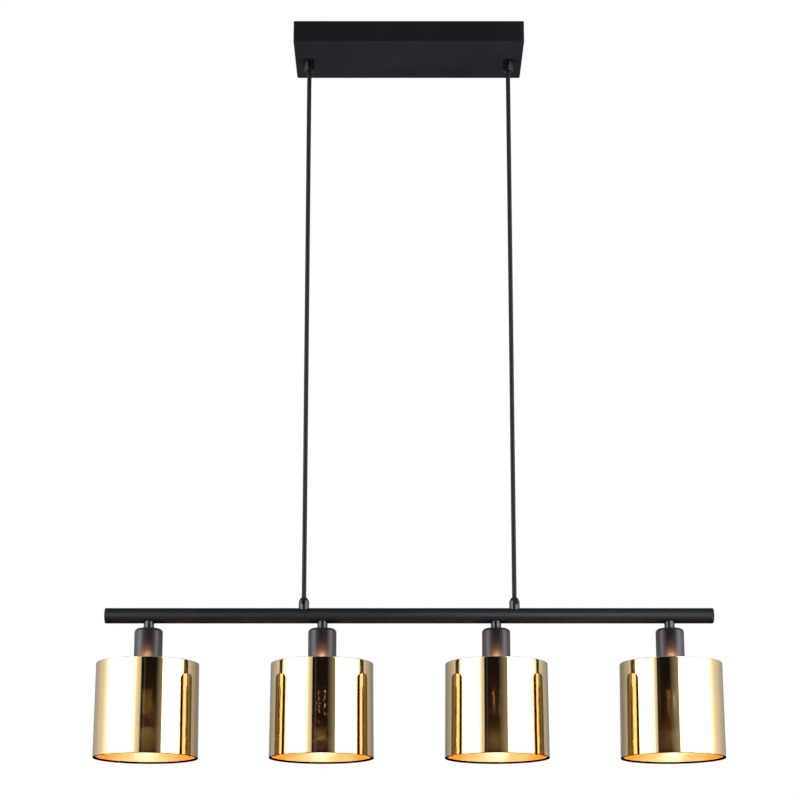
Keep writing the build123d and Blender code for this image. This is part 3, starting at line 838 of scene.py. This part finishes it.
# Softboxes in front to the left and right, dark between them, fading along both sides.
softbox_strength = 5.5
front_y, back_y, side_x = -1.05, 3.0, 1.7
wall_low, wall_high = bar.z - 1.0, bar.z + 1.3
flag_left, flag_right = -0.47, 0.52
flag_share, step = 0.003, 0.01
front_stops = ((-0.86, 1.0), (-0.66, 0.33), (flag_left - step, 0.19), (flag_left, flag_share),
               (0.15, flag_share), (flag_right - step, 0.10), (flag_right, 1.0))
side_stops = ((front_y, 1.0), (-0.20, 0.90), (0.10, 0.38), (0.35, 0.27), (1.10, 0.155), (back_y, 0.07))
front_light = graded_light("front_softboxes", softbox_strength, "X", (-side_x, side_x), front_stops)
side_light = graded_light("side_softboxes", softbox_strength, "Y", (front_y, back_y), side_stops)
front = panel("softbox_front", upright((-side_x, front_y), (side_x, front_y)), front_light)
panel("softbox_left", upright((-side_x, back_y), (-side_x, front_y)), side_light)
panel("softbox_right", upright((side_x, front_y), (side_x, back_y)), side_light)

# The front softboxes pass the cups by.
beside_cups = pieces_named("beside_cups", "cup_")
for entry in beside_cups.collection_objects:
    entry.light_linking.link_state = "EXCLUDE"
front.light_linking.receiver_collection = beside_cups

# A faint narrow strip just inside the flag's left edge.
strip_left, strip_right, strip_y = -0.355, -0.31, front_y + step
strip_strength, even = 0.1, ((-1.0, 1.0), (1.0, 1.0))
strip_light = graded_light("flag_edge", strip_strength, "X", (-1.0, 1.0), even)
panel("flag_strip", upright((strip_left, strip_y), (strip_right, strip_y)), strip_light)

# Floor: white to the camera, dim to everything else.
floor_drop, floor_edge = 3.8, 12.0
floor_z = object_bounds()[0].z - floor_drop
floor_mesh = bpy.data.meshes.new("studio_floor")
floor_mesh.from_pydata([(-floor_edge, -floor_edge, floor_z), (floor_edge, -floor_edge, floor_z),
                        (floor_edge, floor_edge, floor_z), (-floor_edge, floor_edge, floor_z)],
                       [], [(0, 1, 2, 3)])
paper = Shader("studio_paper", (0.06, 0.06, 0.06), 0.8)
paper.drive("Roughness", paper.spread(paper.noise(3.0), 0.7, 0.9))
bright = paper.nodes.new("ShaderNodeEmission")
bright.inputs["Color"].default_value = (1.0, 1.0, 1.0, 1.0)
show_camera(paper.material.node_tree, paper.principled.outputs["BSDF"], bright.outputs["Emission"],
            paper.nodes["Material Output"].inputs["Surface"])
floor_mesh.materials.append(paper.material)
floor = bpy.data.objects.new("studio_floor", floor_mesh)
bpy.context.scene.collection.objects.link(floor)
floor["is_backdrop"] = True

# Room: white to the camera; to everything else grey, darker below.
low_height, low_strength = -0.3, 0.05
high_height, high_strength = 0.1, 0.42
world = bpy.data.worlds.new("studio")
bpy.context.scene.world = world
world.use_nodes = True
nodes, links = world.node_tree.nodes, world.node_tree.links
nodes.clear()
place = nodes.new("ShaderNodeTexCoord")
split = nodes.new("ShaderNodeSeparateXYZ")
links.new(place.outputs["Generated"], split.inputs["Vector"])
height = nodes.new("ShaderNodeMapRange")
height.inputs["From Min"].default_value = low_height
height.inputs["From Max"].default_value = high_height
height.inputs["To Min"].default_value = low_strength
height.inputs["To Max"].default_value = high_strength
links.new(split.outputs["Z"], height.inputs["Value"])
around = nodes.new("ShaderNodeBackground")
around.inputs["Color"].default_value = (1.0, 1.0, 1.02, 1.0)
links.new(height.outputs["Result"], around.inputs["Strength"])
seen = nodes.new("ShaderNodeBackground")
seen.inputs["Color"].default_value = (1.0, 1.0, 1.0, 1.0)
output = nodes.new("ShaderNodeOutputWorld")
show_camera(world.node_tree, around.outputs["Background"], seen.outputs["Background"],
            output.inputs["Surface"])

# Camera -----------------------------------------------------------------------------

eye_from_bar = Vector((-0.0119, -2.9439, -0.5066))
look_up = 14.1345
camera_data = bpy.data.cameras.new("camera")
camera_data.lens = 103.5
camera_data.sensor_width = 36.0
camera_data.shift_y = 0.05
camera_data.clip_end = 100.0
camera = bpy.data.objects.new("camera", camera_data)
camera.location = Vector((bar.x, 0, bar.z)) + eye_from_bar
camera.rotation_euler = (radians(90 + look_up), 0.0, 0.0)
bpy.context.scene.collection.objects.link(camera)
bpy.context.scene.camera = camera

bpy.context.scene.view_settings.view_transform = "Standard"
bpy.context.scene.view_settings.look = "None"
